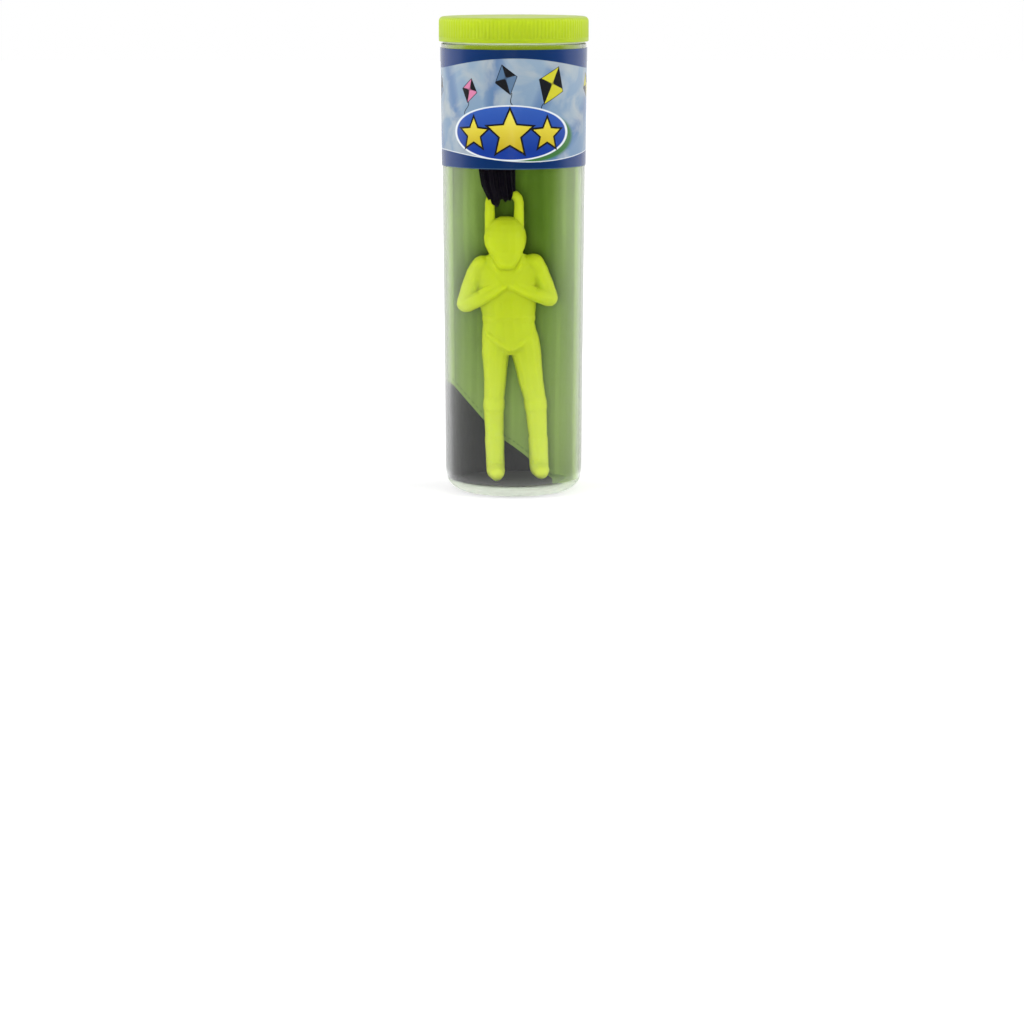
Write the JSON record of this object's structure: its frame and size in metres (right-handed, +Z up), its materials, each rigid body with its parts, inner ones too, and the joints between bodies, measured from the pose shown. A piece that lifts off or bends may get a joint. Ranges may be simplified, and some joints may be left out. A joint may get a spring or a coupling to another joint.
{
  "type": "toy parachute",
  "caption": "Toy parachute packed in a clear tapered tube: press-on ribbed cap with an inner plug, wrap label, soft trooper figure, folded cloth canopy and net skirt.",
  "frame": {"origin": "Centre of the tube's foot ring, on the surface that the tube stands on", "axes": "+Z up along the tube's axis towards the cap; -Y is the front, which the packed figure faces; +X is to the viewer's right when the front is seen"},
  "size_m": [0.0404, 0.0404, 0.1286],
  "materials": {
    "clear_plastic": "clear, polished, injection moulded",
    "lime_plastic": "semi-gloss, finely ribbed side",
    "printed_label": "printed film, satin",
    "soft_vinyl": "soft vinyl, semi-matt",
    "green_cloth": "thin woven nylon",
    "black_cloth": "thin woven nylon",
    "black_net": "fine knitted net"
  },
  "bodies": {
    "tube_body": {"tube": "clear_plastic", "label": "printed_label"},
    "cap_body": {"cap": "lime_plastic"},
    "toy_body": {"figure": "soft_vinyl", "canopy_green_panel": "green_cloth", "canopy_black_panel": "black_cloth", "net_skirt": "black_net"}
  },
  "joints": [
    {"name": "cap_lift", "type": "slide", "parent": "tube_body", "child": "cap_body", "axis": [0, 0, 1], "range_m": [0, 0.15]},
    {"name": "toy_lift", "type": "slide", "parent": "tube_body", "child": "toy_body", "axis": [0, 0, 1], "range_m": [0, 0.126]}
  ],
  "couplings": [
    {"joint": "toy_lift", "follows": "cap_lift", "ratio": 0.84}
  ]
}
